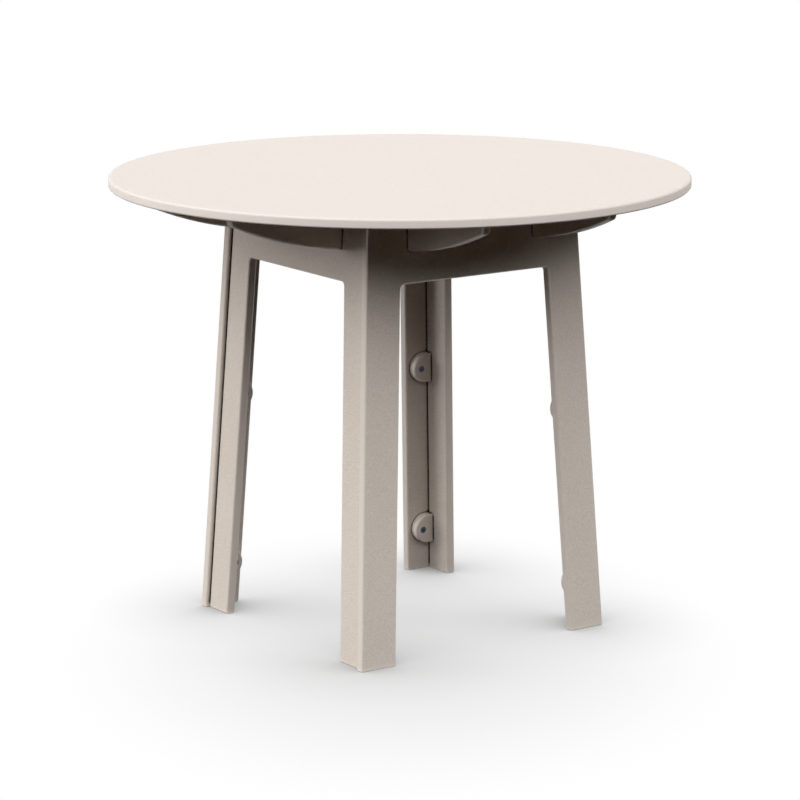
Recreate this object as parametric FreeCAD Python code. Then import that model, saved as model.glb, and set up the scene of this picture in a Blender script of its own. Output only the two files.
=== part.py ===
import FreeCAD, Part
import math
import os

# Round garden table of cut plastic sheet. A disc lies on four crossed beams, and a splayed square base of
# four portal panels carries the beams. Half-round blocks hold the panels together in the corners.
# Millimetres, +Z up, origin on the floor under the middle of the top.

# Top
top_diameter = 965.0
table_height = 760.0
top_thickness = 16.0
top_upper_edge_radius = 4.0
top_lower_edge_radius = 3.0

# Base panels: the front and back ones are full width, the left and right ones are set in between them
base_width = 492.0
panel_lean_degrees = 2.95
panel_thickness = 16.0
rail_height = 126.0
opening_corner_radius = 8.0
full_leg_width = 67.0
inset_leg_width = 56.0
inset_recess = 6.3
inset_end_gap = 1.6

# Beams under the top
beam_leg_distance = 16.5
beam_thickness = 16.0
beam_depth = 77.5
beam_straight_length = 280.0
beam_tip_height = 18.5
beam_tip_radius = 10.0
beam_rim_setback = 70.0
beam_fit = 0.2

# Corner blocks, each with a tenon in an inset panel
block_height = 52.0
block_length = 37.0
block_thickness = 16.0
lower_block_center = 78.0
upper_block_center = 375.0
tenon_length = 10.0
tenon_height = 26.0
tenon_thickness = 8.0
tenon_fit = 0.2
tenon_end_room = 0.5

# Rounded edges of the panels, beams and blocks
edge_radius = 3.0

# Screws
screw_diameter = 6.0
screw_hole_clearance = 0.3
screw_tip_chamfer = 0.8
flat_head_diameter = 12.0
countersink_clearance = 0.1
button_head_diameter = 10.5
button_head_height = 3.3
button_head_edge_height = 1.2
button_head_flat_diameter = 7.0
head_bore_clearance = 0.5
socket_width = 4.0
socket_depth = 2.2
block_screw_end_distance = 15.0
top_screw_tip_distance = 100.0
top_screw_grip = 28.0
rail_bore_depth = 15.0

# Threaded inserts
insert_diameter = 8.5
insert_groove_depth = 0.5
insert_bands = 5
insert_sink = 0.5
insert_fit = 0.05
insert_end_room = 0.5
thread_fit = 0.05
blind_wall = 4.0
rail_insert_length = 12.0

# Sizes that follow from these
lean = math.radians(panel_lean_degrees)
half_base = base_width / 2
underside = table_height - top_thickness
opening_height = underside - rail_height
beam_bottom = underside - beam_depth
beam_reach = top_diameter / 2 - beam_rim_setback
beam_run = beam_reach - beam_straight_length / 2
beam_rise = beam_depth - beam_tip_height
beam_arc_radius = (beam_run * beam_run + beam_rise * beam_rise) / (2 * beam_rise)
top_screw_reach = beam_reach - top_screw_tip_distance
screw_radius = screw_diameter / 2
screw_hole_radius = screw_radius + screw_hole_clearance
head_bore_radius = button_head_diameter / 2 + head_bore_clearance
block_screw_place = block_length - block_screw_end_distance
insert_ends = insert_sink + insert_end_room
block_insert_length = panel_thickness - blind_wall - insert_ends
top_insert_length = top_thickness - blind_wall - insert_ends
far = top_diameter + table_height

origin = FreeCAD.Vector(0, 0, 0)
along_x = FreeCAD.Vector(1, 0, 0)
along_z = FreeCAD.Vector(0, 0, 1)
same_way = FreeCAD.Rotation()
half_turn = FreeCAD.Rotation(along_x, 180)
quarter_turns = (0, 90, 180, 270)


# Places on the leaning sides
def half_width(height):
    """Half the width of the base at a height, over the full-width panels."""
    return half_base - height * math.tan(lean)


def level(thickness):
    """Thickness of a leaning sheet, measured level."""
    return thickness / math.cos(lean)


def side_frame():
    """Frame on the front's outer face: x along it, y up the lean from the floor, z outward."""
    upright = FreeCAD.Rotation(along_x, 90 - panel_lean_degrees)
    return FreeCAD.Placement(FreeCAD.Vector(0, -half_base, 0), upright)


def up_the_lean(height, depth):
    """How far up the side's frame a height is, at a depth behind the outer face."""
    return (height + depth * math.sin(lean)) / math.cos(lean)


# How far the inset panels' legs reach in, and where the beams lie beside them
inset_end_depth = panel_thickness + inset_end_gap
inset_leg_reach = level(inset_end_depth) + inset_leg_width
inset_head_rise = up_the_lean(opening_height, inset_recess) * math.sin(lean)
beam_offset = half_base - inset_head_rise - inset_leg_reach - beam_leg_distance


def beam_edge(reach):
    """Height of a beam's lower edge, on its arc at a distance from the middle."""
    run = reach - beam_straight_length / 2
    return beam_bottom + beam_arc_radius - math.sqrt(beam_arc_radius ** 2 - run ** 2)


def shifted(frame, x, y, z, rotation):
    return frame.multiply(FreeCAD.Placement(FreeCAD.Vector(x, y, z), rotation))


def block_frame(height):
    """Front left corner: x from the left panel's inner face, y up the corner, z into the front panel."""
    x = -half_width(height) + level(inset_recess + panel_thickness)
    y = up_the_lean(height, panel_thickness)
    along_corner = FreeCAD.Rotation(along_z, -math.degrees(math.atan(math.sin(lean))))
    return shifted(side_frame(), x, y, -panel_thickness, along_corner)


def block_screw_frame(height):
    """Where a block's screw sits: z 0 on the block's face, z out of it."""
    return shifted(block_frame(height), block_screw_place, 0, -block_thickness, half_turn)


def block_insert_frame(height):
    """Where a block's insert sits: z 0 on the full-width panel's inner face, z out of it."""
    return shifted(block_frame(height), block_screw_place, 0, 0, half_turn)


def rail_screw_frame(side, depth):
    """Where a rail's screw sits: z 0 at the bottom of its bore, z down the lean."""
    y = up_the_lean(opening_height, depth) + rail_bore_depth
    down = FreeCAD.Rotation(along_x, 90)
    return shifted(side_frame(), side * beam_offset, y, -depth - panel_thickness / 2, down)


def rail_grip(depth):
    """Length of a rail's screw between its seat and the beam's lower edge."""
    middle = depth + panel_thickness / 2
    crossing = beam_edge(half_width(beam_bottom) - level(middle))
    seat = up_the_lean(opening_height, depth) + rail_bore_depth
    return up_the_lean(crossing, middle) - seat


def rail_insert_frame(side, depth):
    """Where a rail screw's insert sits: z 0 at the beam's lower edge, z down the lean."""
    return shifted(rail_screw_frame(side, depth), 0, 0, -rail_grip(depth), same_way)


def top_screw_frame(side, height):
    """On the front beam's line, at one end: z down from a height."""
    return FreeCAD.Placement(FreeCAD.Vector(side * top_screw_reach, -beam_offset, height), half_turn)


# Small tools for shapes
def placed(shape, frame):
    copy = shape.copy()
    copy.Placement = frame.multiply(copy.Placement)
    return copy


def turned(shape, degrees):
    copy = shape.copy()
    copy.rotate(origin, along_z, degrees)
    return copy


def box(low, high):
    start = FreeCAD.Vector(*low)
    size = FreeCAD.Vector(*high) - start
    return Part.makeBox(size.x, size.y, size.z, start)


def rod(radius, start, end):
    """Round bar along z."""
    return Part.makeCylinder(radius, end - start, FreeCAD.Vector(0, 0, start))


def outside(turn, depth):
    """The space outward of a plane that lies at a depth behind a side's outer face."""
    return turned(placed(box((-far, -far, -depth), (far, far, far)), side_frame()), turn)


def revolved(profile):
    """Solid of revolution about z, from a closed profile of (radius, z) points."""
    points = [FreeCAD.Vector(radius, 0, z) for radius, z in profile]
    return Part.Face(Part.makePolygon(points + points[:1])).revolve(origin, along_z, 360)


def rounded_wire(corners):
    """Closed wire through corners (x, y, radius), each rounded by its own radius."""
    edges = []
    ends = []
    for index, (x, y, radius) in enumerate(corners):
        point = FreeCAD.Vector(x, y, 0)
        before = FreeCAD.Vector(*corners[index - 1][:2], 0) - point
        after = FreeCAD.Vector(*corners[(index + 1) % len(corners)][:2], 0) - point
        half_angle = before.getAngle(after) / 2
        before.normalize()
        after.normalize()
        start = point + before * (radius / math.tan(half_angle))
        end = point + after * (radius / math.tan(half_angle))
        if radius > 0:
            inward = (before + after).normalize()
            middle = point + inward * (radius / math.sin(half_angle) - radius)
            edges.append(Part.Arc(start, middle, end).toShape())
        ends.append((start, end))
    for index, (start, end) in enumerate(ends):
        edges.append(Part.makeLine(ends[index - 1][1], start))
    return Part.Wire(Part.__sortEdges__(edges))


def rounded_edges(shape, frame, wanted, radius):
    """The shape with a rounding on each edge whose ends, in a frame, are wanted."""
    back = frame.inverse()
    chosen = []
    for edge in shape.Edges:
        ends = [back.multVec(vertex.Point) for vertex in edge.Vertexes]
        if wanted(ends[0], ends[-1]):
            chosen.append(edge)
    return shape.makeFillet(radius, chosen)


def all_corners(shape):
    """A shape of the front left corner, repeated in the four corners."""
    mirrored = shape.mirror(origin, along_x)
    return {
        "front_left": shape,
        "front_right": mirrored,
        "back_right": turned(shape, 180),
        "back_left": turned(mirrored, 180),
    }


# Screws and threaded inserts
def with_socket(screw, top):
    """A screw with a six-sided driver recess in its top."""
    corner = socket_width / math.sqrt(3)
    angles = [math.radians(60 * step) for step in range(7)]
    floor = top - socket_depth
    ring = [FreeCAD.Vector(corner * math.cos(angle), corner * math.sin(angle), floor) for angle in angles]
    return screw.cut(Part.Face(Part.makePolygon(ring)).extrude(FreeCAD.Vector(0, 0, 2 * socket_depth)))


def shank_profile(length):
    """The lower half of a screw's profile, down to its tip at -length."""
    tip = screw_radius - screw_tip_chamfer
    return [(screw_radius, screw_tip_chamfer - length), (tip, -length), (0, -length)]


def flat_head_screw(length):
    """Countersunk screw, with the top of its head at z 0."""
    head = flat_head_diameter / 2
    profile = [(0, 0), (head, 0), (screw_radius, screw_radius - head)]
    return with_socket(revolved(profile + shank_profile(length)), 0)


def button_head_screw(length):
    """Button-head screw, with the seat of its head at z 0."""
    head = button_head_diameter / 2
    profile = [(0, button_head_height), (button_head_flat_diameter / 2, button_head_height)]
    profile += [(head, button_head_edge_height), (head, 0), (screw_radius, 0)]
    return with_socket(revolved(profile + shank_profile(length)), button_head_height)


def threaded_insert(length):
    """Sleeve with grooves round it, sunk a little below the surface at z 0."""
    outer = insert_diameter / 2
    bore = screw_radius + thread_fit
    band = length / insert_bands
    profile = [(bore, -insert_sink)]
    for step in range(insert_bands):
        radius = outer - insert_groove_depth * (step % 2)
        profile.append((radius, -insert_sink - step * band))
        profile.append((radius, -insert_sink - (step + 1) * band))
    profile.append((bore, -insert_sink - length))
    return revolved(profile)


def insert_hole(length):
    """Blind hole for an insert, down from the surface at z 0."""
    return rod(insert_diameter / 2 + insert_fit, -length - insert_ends, insert_sink)


def countersunk_hole():
    head = flat_head_diameter / 2 + countersink_clearance
    slope = head - screw_hole_radius
    sink = Part.makeCone(screw_hole_radius, head, slope, FreeCAD.Vector(0, 0, -slope))
    return rod(screw_hole_radius, -2 * block_thickness, 0).fuse(sink)


def stepped_bore(grip, bore_depth):
    """Hole for a button-head screw: a clear hole for its grip, and a wide bore for its head."""
    wide = rod(head_bore_radius, 0, bore_depth + edge_radius)
    return rod(screw_hole_radius, -grip - edge_radius, 0).fuse(wide)


# Table top
def table_top():
    """Disc with rounded rims, and holes in its underside for the inserts."""
    disc = rod(top_diameter / 2, underside, table_height)
    middle = underside + top_thickness / 2
    upper = [edge for edge in disc.Edges if edge.BoundBox.ZMin > middle]
    disc = disc.makeFillet(top_upper_edge_radius, upper)
    lower = [edge for edge in disc.Edges if edge.BoundBox.ZMax < middle]
    disc = disc.makeFillet(top_lower_edge_radius, lower)
    hole = insert_hole(top_insert_length)
    for turn in quarter_turns:
        for side in (-1, 1):
            disc = disc.cut(turned(placed(hole, top_screw_frame(side, underside)), turn))
    return disc


# Panels
def portal_sheet(depth, leg_reach):
    """Two legs and a rail in one sheet, at a depth behind the front, with level feet and a level top."""
    rate = math.sin(lean)
    low = -panel_thickness
    head = up_the_lean(opening_height, depth)
    high = up_the_lean(underside, depth + 2 * panel_thickness)
    corners = [(-half_base + low * rate, low, 0)]
    corners.append((-half_base + low * rate + leg_reach, low, 0))
    corners.append((-half_base + head * rate + leg_reach, head, opening_corner_radius))
    corners += [(-x, y, radius) for x, y, radius in reversed(corners)]
    corners.append((half_base - high * rate, high, 0))
    corners.append((-half_base + high * rate, high, 0))
    slab = Part.Face(rounded_wire(corners)).extrude(FreeCAD.Vector(0, 0, -panel_thickness))
    frame = shifted(side_frame(), 0, 0, -depth, same_way)
    return placed(slab, frame).common(box((-far, -far, 0), (far, far, underside)))


def finished_panel(sheet, depth):
    """A panel with rounded edges, notches that the beams drop into, and bores for the rail screws."""
    rail_top = up_the_lean(underside, depth) - edge_radius

    def exposed(start, end):
        on_a_face = abs(start.z - end.z) < panel_thickness / 2
        at_the_foot = max(start.y, end.y) < edge_radius
        return at_the_foot or (on_a_face and min(start.y, end.y) < rail_top)

    panel = rounded_edges(sheet, side_frame(), exposed, edge_radius)
    notch = turned(beam_bar(beam_thickness + 2 * beam_fit, table_height), 90)
    bore = stepped_bore(rail_grip(depth), rail_bore_depth)
    for side in (-1, 1):
        crossing = FreeCAD.Placement(FreeCAD.Vector(side * beam_offset, 0, -beam_fit), same_way)
        panel = panel.cut(placed(notch, crossing)).cut(placed(bore, rail_screw_frame(side, depth)))
    return panel


def full_panel():
    """The front panel, with holes for the inserts that its blocks are screwed into."""
    panel = finished_panel(portal_sheet(0, full_leg_width), 0)
    for height in (lower_block_center, upper_block_center):
        hole = placed(insert_hole(block_insert_length), block_insert_frame(height))
        panel = panel.cut(hole).cut(hole.mirror(origin, along_x))
    return panel


def inset_panel():
    """The left panel, between the full-width ones, with mortises for its blocks' tenons."""
    sheet = portal_sheet(inset_recess, inset_leg_reach)
    sheet = sheet.cut(outside(90, inset_end_depth)).cut(outside(270, inset_end_depth))
    panel = turned(finished_panel(sheet, inset_recess), 270)
    for height in (lower_block_center, upper_block_center):
        mortises = all_corners(placed(block_tenon(tenon_fit, tenon_end_room), block_frame(height)))
        panel = panel.cut(mortises["front_left"]).cut(mortises["back_left"])
    return panel


# Corner blocks
def block_tenon(fit, end_room):
    """The tenon at a block's flat end, or the mortise for it."""
    near = -(block_thickness + tenon_thickness) / 2 - fit
    deep = -(block_thickness - tenon_thickness) / 2 + fit
    half = tenon_height / 2 + fit
    return box((-tenon_length - end_room, -half, near), (edge_radius, half, deep))


def corner_block(height):
    """Half-round block of the front left corner."""
    frame = block_frame(height)
    radius = block_height / 2
    start = FreeCAD.Vector(block_length - radius, radius, 0)
    crown = FreeCAD.Vector(block_length, 0, 0)
    end = FreeCAD.Vector(block_length - radius, -radius, 0)
    low_tail = FreeCAD.Vector(-panel_thickness, -radius, 0)
    high_tail = FreeCAD.Vector(-panel_thickness, radius, 0)
    outline = [Part.Arc(start, crown, end).toShape(), Part.makePolygon([end, low_tail, high_tail, start])]
    slab = Part.Face(Part.Wire(outline)).extrude(FreeCAD.Vector(0, 0, -block_thickness))
    block = placed(slab, frame).cut(outside(270, inset_recess + panel_thickness))

    def exposed(first, last):
        on_the_face = max(first.z, last.z) < edge_radius - block_thickness
        return on_the_face and max(first.x, last.x) > edge_radius

    block = rounded_edges(block, frame, exposed, edge_radius)
    block = block.fuse(placed(block_tenon(0, 0), frame)).removeSplitter()
    return block.cut(placed(countersunk_hole(), block_screw_frame(height)))


# Beams
def beam_bar(thickness, top):
    """Plain bar along x up to a height: straight in the middle, then rising on an arc to each tip."""
    straight = beam_straight_length / 2
    half_arc = math.asin(beam_run / beam_arc_radius) / 2
    middle_x = straight + beam_arc_radius * math.sin(half_arc)
    middle_z = beam_edge(middle_x)
    left_start = FreeCAD.Vector(-straight, 0, beam_bottom)
    right_start = FreeCAD.Vector(straight, 0, beam_bottom)
    left_tip = FreeCAD.Vector(-beam_reach, 0, beam_bottom + beam_rise)
    right_tip = FreeCAD.Vector(beam_reach, 0, beam_bottom + beam_rise)
    left_top = FreeCAD.Vector(-beam_reach, 0, top)
    right_top = FreeCAD.Vector(beam_reach, 0, top)
    outline = [
        Part.makeLine(left_start, right_start),
        Part.Arc(right_start, FreeCAD.Vector(middle_x, 0, middle_z), right_tip).toShape(),
        Part.makePolygon([right_tip, right_top, left_top, left_tip]),
        Part.Arc(left_tip, FreeCAD.Vector(-middle_x, 0, middle_z), left_start).toShape(),
    ]
    bar = Part.Face(Part.Wire(outline)).extrude(FreeCAD.Vector(0, thickness, 0))
    bar.translate(FreeCAD.Vector(0, -thickness / 2, 0))
    return bar


def beam_blank():
    """Beam in the front beam's place, with rounded tips and rounded lower edges."""
    centre_line = FreeCAD.Placement(FreeCAD.Vector(0, -beam_offset, 0), same_way)
    bar = placed(beam_bar(beam_thickness, underside), centre_line)

    def at_a_tip(start, end):
        across = abs(start.y - end.y) > beam_thickness / 2
        return across and abs(start.x) > beam_reach - edge_radius and start.z < underside - edge_radius

    def exposed(start, end):
        on_a_face = abs(start.y - end.y) < beam_thickness / 2
        return on_a_face and min(start.z, end.z) < underside - edge_radius

    bar = rounded_edges(bar, FreeCAD.Placement(), at_a_tip, beam_tip_radius)
    return rounded_edges(bar, FreeCAD.Placement(), exposed, edge_radius)


def beam(lap_low, lap_high, rail_depth):
    """Beam in the front beam's place, with half-lap slots, and bored for its screws and inserts."""
    shape = beam_blank()
    half_slot = beam_thickness / 2 + beam_fit
    bore = stepped_bore(top_screw_grip, beam_depth)
    hole = insert_hole(rail_insert_length)
    for side, turn in ((-1, 90), (1, 270)):
        middle = side * beam_offset
        shape = shape.cut(box((middle - half_slot, -far, lap_low), (middle + half_slot, far, lap_high)))
        shape = shape.cut(placed(bore, top_screw_frame(side, underside - top_screw_grip)))
        shape = shape.cut(turned(placed(hole, rail_insert_frame(side, rail_depth)), turn))
    return shape


# All pieces by name
def block_hardware(piece, frame_at):
    """One piece of hardware at each of the eight blocks."""
    pieces = []
    for height in (lower_block_center, upper_block_center):
        pieces += all_corners(placed(piece, frame_at(height))).values()
    return Part.makeCompound(pieces)


def top_hardware(piece, height):
    """One piece of hardware at each end of the four beams."""
    pieces = []
    for turn in quarter_turns:
        for side in (-1, 1):
            pieces.append(turned(placed(piece, top_screw_frame(side, height)), turn))
    return Part.makeCompound(pieces)


def rail_hardware(piece_for, frame_at):
    """One piece of hardware at each crossing of a beam and a panel's rail."""
    pieces = []
    for turn in quarter_turns:
        depth = inset_recess if turn in (90, 270) else 0
        for side in (-1, 1):
            pieces.append(turned(placed(piece_for(depth), frame_at(side, depth)), turn))
    return Part.makeCompound(pieces)


def rail_screw(depth):
    return button_head_screw(rail_grip(depth) + insert_sink + rail_insert_length)


def rail_insert(depth):
    return threaded_insert(rail_insert_length)


def all_nodes():
    lap = (beam_bottom + underside) / 2
    along_x_beam = beam(lap, table_height, inset_recess)
    along_y_beam = beam(0, lap, 0)
    front = full_panel()
    left = inset_panel()
    nodes = {
        "table_top": table_top(),
        "front_panel": front,
        "back_panel": turned(front, 180),
        "left_panel": left,
        "right_panel": turned(left, 180),
        "front_beam": along_x_beam,
        "back_beam": turned(along_x_beam, 180),
        "right_beam": turned(along_y_beam, 90),
        "left_beam": turned(along_y_beam, 270),
    }
    for place, height in (("lower", lower_block_center), ("upper", upper_block_center)):
        for corner, block in all_corners(corner_block(height)).items():
            nodes[f"{corner}_{place}_block"] = block
    block_screw = flat_head_screw(block_thickness + insert_sink + block_insert_length)
    top_screw = button_head_screw(top_screw_grip + insert_sink + top_insert_length)
    nodes["block_screws"] = block_hardware(block_screw, block_screw_frame)
    nodes["block_inserts"] = block_hardware(threaded_insert(block_insert_length), block_insert_frame)
    nodes["top_screws"] = top_hardware(top_screw, underside - top_screw_grip)
    nodes["top_inserts"] = top_hardware(threaded_insert(top_insert_length), underside)
    nodes["rail_screws"] = rail_hardware(rail_screw, rail_screw_frame)
    nodes["rail_inserts"] = rail_hardware(rail_insert, rail_insert_frame)
    return nodes


os.makedirs("parts", exist_ok=True)
for name, shape in all_nodes().items():
    shape.exportStep(f"parts/{name}.step")
    print(name, len(shape.Solids), round(shape.Volume), shape.isValid())
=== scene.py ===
import math
import random

import bmesh
import bpy
import numpy as np
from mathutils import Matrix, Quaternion, Vector


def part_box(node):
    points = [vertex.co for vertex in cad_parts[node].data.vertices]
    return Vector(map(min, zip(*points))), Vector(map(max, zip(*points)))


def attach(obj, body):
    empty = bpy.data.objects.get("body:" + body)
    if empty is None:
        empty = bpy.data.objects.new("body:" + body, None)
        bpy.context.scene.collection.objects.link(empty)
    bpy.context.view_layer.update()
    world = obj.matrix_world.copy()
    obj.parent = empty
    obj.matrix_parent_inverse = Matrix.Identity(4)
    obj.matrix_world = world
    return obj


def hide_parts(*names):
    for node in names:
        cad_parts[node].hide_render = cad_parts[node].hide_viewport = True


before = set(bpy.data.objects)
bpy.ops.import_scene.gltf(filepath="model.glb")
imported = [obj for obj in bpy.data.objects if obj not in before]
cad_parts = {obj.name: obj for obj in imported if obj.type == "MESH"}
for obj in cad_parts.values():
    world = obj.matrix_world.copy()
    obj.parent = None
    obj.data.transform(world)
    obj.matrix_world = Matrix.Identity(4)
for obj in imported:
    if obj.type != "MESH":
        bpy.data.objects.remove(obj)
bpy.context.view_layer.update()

bl_info = {
    "name": "Round garden table",
    "version": (1, 0, 0),
    "blender": (4, 5, 0),
    "location": "View3D > Sidebar > Table",
    "description": "Finishes the pieces of a round table of cut plastic sheet, and sets up its stage",
    "category": "Object",
}

BODY = "root"
TOP_LOW, TOP_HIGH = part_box("table_top")
TOP_RADIUS = min(-TOP_LOW.x, -TOP_LOW.y, TOP_HIGH.x, TOP_HIGH.y)
SIDES = ("front", "back", "left", "right")
CORNERS = ("front_left", "front_right", "back_right", "back_left")
BLOCKS = [f"{corner}_{place}_block" for corner in CORNERS for place in ("lower", "upper")]

# Attributes that finishes and shapes read
CUT_EDGE = "cut_edge"
ROUNDING = "rounding"
TURN = "turn"

# Meshes: distances in metres, and counts of faces
MERGE_DISTANCE = 1e-5
WELD_DISTANCE = 1e-6
SHARP_ANGLE = math.radians(35)
LENGTH_DIGITS = 4
SCREW_SIDES = 24
SOCKET_SIDES = 6
DRILL_SIDES = 32
RINGS_PER_TURN = 4
FLAT_HEAD_LAND = 0.0002
DOME_STEPS = 6
ROUND_STEPS = 8
INSERT_BANDS = 5
INSERT_PLAY = 0.0001
FACES_PER_RIDGE = 4

# Finish of the sheet: weight of each noise, and what its cut edges have more or less of
NOISE_MIDDLE = 0.5
SPECKLE_SHARE = 0.4
PEBBLE_TONE = 2.6
SPECKLE_TONE = 1.4
CLOUD_TONE = 0.6
SPECKLE_RELIEF = 0.2
ROUGHNESS_SPREAD = 0.2
EDGE_SHARE = 0.7
EDGE_FLATNESS = 0.8
EDGE_SMOOTHNESS = 0.16
# Painted shade in the sheet's joints and corners: the openness round which it sets in, and the height above
# the floor below which none is painted
PAINTED_SHADE_OPENNESS = (0.6, 0.1)
PAINTED_SHADE_HEIGHT = (0.006, 0.003)
SHEET_SPECULAR = 0.08
COAT_ROUGHNESS = 0.15
COAT_IOR = 1.8
OPENNESS_SAMPLES = 8

# Finish of the screws and inserts: widths of their marks, and how far their tones spread
STEEL_MARKS = 0.0007
STEEL_STAINS = 0.004
STEEL_TONES = (0.6, 1.8)
# Share of the steel's colour that is left in its recesses, as painted shade
STEEL_PAINTED_SHADE = 0.05
STEEL_RELIEF = 0.00003
STEEL_RELIEF_STRENGTH = 0.6
STEEL_ROUGHNESS = 0.3
BRASS_MARKS = 0.001
BRASS_TONES = (0.75, 1.15)
BRASS_ROUGHNESS = 0.34

# Stage
FLOOR_REACH = 40.0
FLOOR_SAMPLES = 16
SENSOR_WIDTH = 36.0
SIDE_SPREAD = 0.35
FOOT_SPREAD = 0.08
WINDOW_SPREAD = 0.03


# Settings that a user would change
class SheetSettings(bpy.types.PropertyGroup):
    """Finish of the plastic sheet."""
    # Painted shade: the top and the frame are one sheet, and the top is painted darker than the frame to
    # even out the stronger light on it
    top_darkened_colour: bpy.props.FloatVectorProperty(
        name="Top colour", description="Colour of the top's faces",
        subtype="COLOR", size=3, min=0, max=1, default=(0.72, 0.658, 0.608))
    frame_colour: bpy.props.FloatVectorProperty(
        name="Frame colour", description="Colour of the base's and beams' faces",
        subtype="COLOR", size=3, min=0, max=1, default=(0.80, 0.715, 0.64))
    # Painted highlight: the frame's cut edges are painted lighter than its faces
    edge_painted_light: bpy.props.FloatProperty(
        name="Edge lightness", description="How much lighter the frame's cut edges are",
        subtype="FACTOR", min=0, max=1, default=0.08)
    # Painted highlight: the top's rim is painted lighter than the top's faces
    rim_painted_light: bpy.props.FloatProperty(
        name="Rim lightness", description="How much lighter the top's rim is",
        subtype="FACTOR", min=0, max=1, default=0.45)
    roughness: bpy.props.FloatProperty(
        name="Roughness", description="Mean roughness of the faces",
        subtype="FACTOR", min=0, max=1, default=0.56)
    edge_polish: bpy.props.FloatProperty(
        name="Edge polish", description="How glossy the frame's rounded edges are",
        subtype="FACTOR", min=0, max=1, default=0.9)
    rim_polish: bpy.props.FloatProperty(
        name="Rim polish", description="How glossy the rim's rounded edges are",
        subtype="FACTOR", min=0, max=1, default=0.1)
    pebble_size: bpy.props.FloatProperty(
        name="Pebble size", description="Width of the small bumps all over the sheet",
        unit="LENGTH", min=0.0002, default=0.0027)
    pebble_depth: bpy.props.FloatProperty(
        name="Pebble depth", description="Height of the small bumps",
        unit="LENGTH", min=0, default=0.0006)
    cloud_size: bpy.props.FloatProperty(
        name="Cloud size", description="Width of the faint lighter and darker patches",
        unit="LENGTH", min=0.01, default=0.14)
    variation: bpy.props.FloatProperty(
        name="Variation", description="How much the colour varies over the frame's faces",
        subtype="FACTOR", min=0, max=1, default=0.075)
    top_variation: bpy.props.FloatProperty(
        name="Top variation", description="How much the colour varies over the top",
        subtype="FACTOR", min=0, max=1, default=0.03)
    # Painted shade: the sheet is darkened where other faces lie close, in joints and corners
    crevice_shade_width: bpy.props.FloatProperty(
        name="Crevice reach", description="Width of the joints and corners where dirt gathers",
        unit="LENGTH", min=0, default=0.006)
    crevice_painted_shade: bpy.props.FloatProperty(
        name="Crevice dirt", description="How dark the dirt is in joints and corners",
        subtype="FACTOR", min=0, max=1, default=0.95)


class TopSettings(bpy.types.PropertyGroup):
    """Sizes of the table top."""
    radius: bpy.props.FloatProperty(
        name="Radius", description="Radius of the disc", unit="LENGTH", min=0.1, default=TOP_RADIUS)
    thickness: bpy.props.FloatProperty(
        name="Thickness", description="Thickness of the disc",
        unit="LENGTH", min=0.002, default=TOP_HIGH.z - TOP_LOW.z)
    upper_round: bpy.props.FloatProperty(
        name="Upper rounding", description="Radius of the upper edge", unit="LENGTH", min=0, default=0.004)
    lower_round: bpy.props.FloatProperty(
        name="Lower rounding", description="Radius of the lower edge", unit="LENGTH", min=0, default=0.003)
    rim_band: bpy.props.FloatProperty(
        name="Rim band", description="Width of the band of faces beside the rim",
        unit="LENGTH", min=0.005, default=0.02)
    sides: bpy.props.IntProperty(
        name="Sides", description="Number of faces round the rim", min=24, default=360)
    insert_hole: bpy.props.FloatProperty(
        name="Insert hole", description="Diameter of the blind holes in the underside",
        unit="LENGTH", min=0.001, default=0.0086)
    insert_hole_depth: bpy.props.FloatProperty(
        name="Insert hole depth", description="Depth of the blind holes in the underside",
        unit="LENGTH", min=0.001, default=0.012)


class HardwareSettings(bpy.types.PropertyGroup):
    """Sizes and colours of the screws and threaded inserts."""
    # Painted shade: the screws' colour is far darker than steel, standing in for the dark surroundings that
    # they reflect
    steel: bpy.props.FloatVectorProperty(
        name="Steel", description="Colour of the screws",
        subtype="COLOR", size=3, min=0, max=1, default=(0.075, 0.095, 0.135))
    brass: bpy.props.FloatVectorProperty(
        name="Brass", description="Colour of the inserts",
        subtype="COLOR", size=3, min=0, max=1, default=(0.72, 0.52, 0.24))
    shank: bpy.props.FloatProperty(
        name="Shank diameter", description="Diameter over the thread", unit="LENGTH", default=0.006)
    pitch: bpy.props.FloatProperty(
        name="Thread pitch", description="Distance between two turns of the thread",
        unit="LENGTH", min=0.0002, default=0.001)
    thread_depth: bpy.props.FloatProperty(
        name="Thread depth", description="Depth of the thread's groove", unit="LENGTH", default=0.0005)
    flat_head: bpy.props.FloatProperty(
        name="Flat head", description="Diameter of the countersunk heads", unit="LENGTH", default=0.012)
    button_head: bpy.props.FloatProperty(
        name="Button head", description="Diameter of the button heads", unit="LENGTH", default=0.0105)
    button_height: bpy.props.FloatProperty(
        name="Button height", description="Height of the button heads", unit="LENGTH", default=0.0033)
    button_edge: bpy.props.FloatProperty(
        name="Button edge", description="Height of a button head's straight edge",
        unit="LENGTH", default=0.0012)
    button_flat: bpy.props.FloatProperty(
        name="Button flat", description="Diameter of the flat on a button head",
        unit="LENGTH", default=0.007)
    socket_width: bpy.props.FloatProperty(
        name="Socket width", description="Width across the driver recess's flats",
        unit="LENGTH", default=0.004)
    socket_depth: bpy.props.FloatProperty(
        name="Socket depth", description="Depth of the driver recess", unit="LENGTH", default=0.0022)
    insert: bpy.props.FloatProperty(
        name="Insert diameter", description="Diameter over an insert's knurl",
        unit="LENGTH", default=0.0085)
    knurl_depth: bpy.props.FloatProperty(
        name="Knurl depth", description="Depth of the grooves round an insert",
        unit="LENGTH", default=0.0005)
    knurl_ridges: bpy.props.IntProperty(
        name="Knurl ridges", description="Number of ridges round an insert", min=6, default=20)
    turn_seed: bpy.props.IntProperty(
        name="Turn seed", description="Seed for how far each screw is turned", default=7)


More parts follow.
